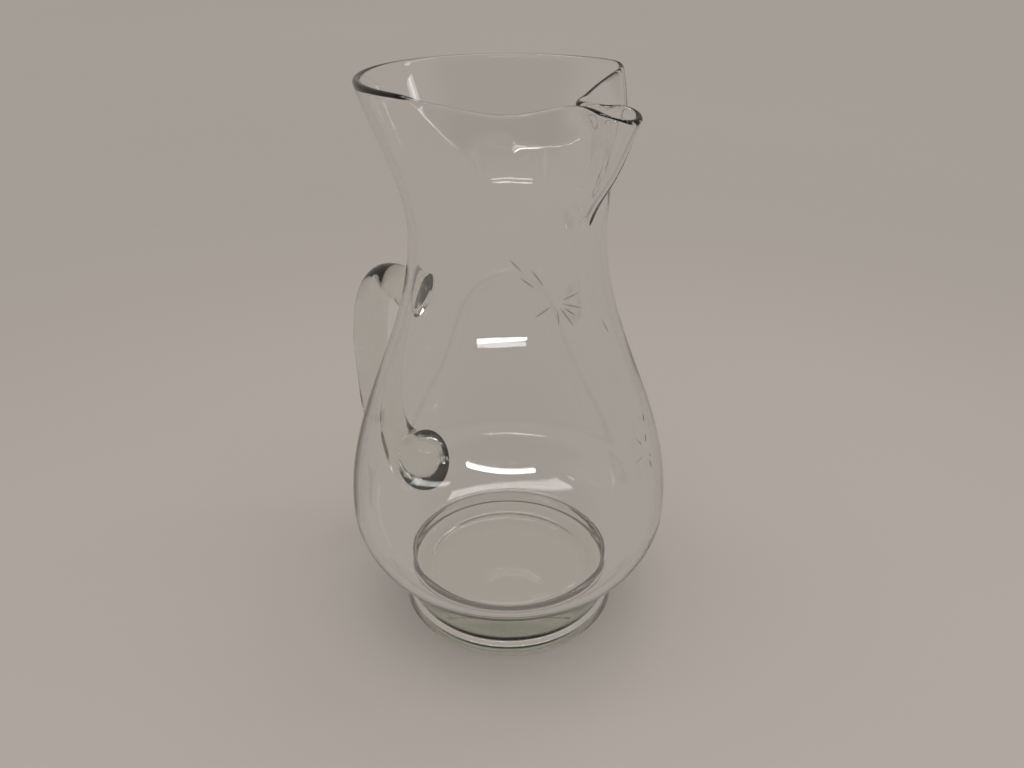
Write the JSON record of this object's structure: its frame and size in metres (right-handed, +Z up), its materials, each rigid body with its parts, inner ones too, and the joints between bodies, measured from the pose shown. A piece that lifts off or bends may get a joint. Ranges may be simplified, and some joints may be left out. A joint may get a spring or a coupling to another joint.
{
  "type": "cocktail pitcher",
  "caption": "Clear blown-glass cocktail pitcher with a round belly, narrow neck, flared mouth with a pinched ice lip, solid foot and applied rod handle.",
  "frame": {"origin": "centre of the foot's flat base, on the table", "axes": "+Z up along the bowl's axis, +X towards the pouring lip"},
  "size_m": [0.1662, 0.142, 0.24],
  "materials": {
    "clear_glass": "fire-polished, clear",
    "thick_glass": "fire-polished, faint green"
  },
  "bodies": {
    "root": {"bowl": "clear_glass", "foot": "thick_glass", "handle": "thick_glass"}
  },
  "joints": []
}
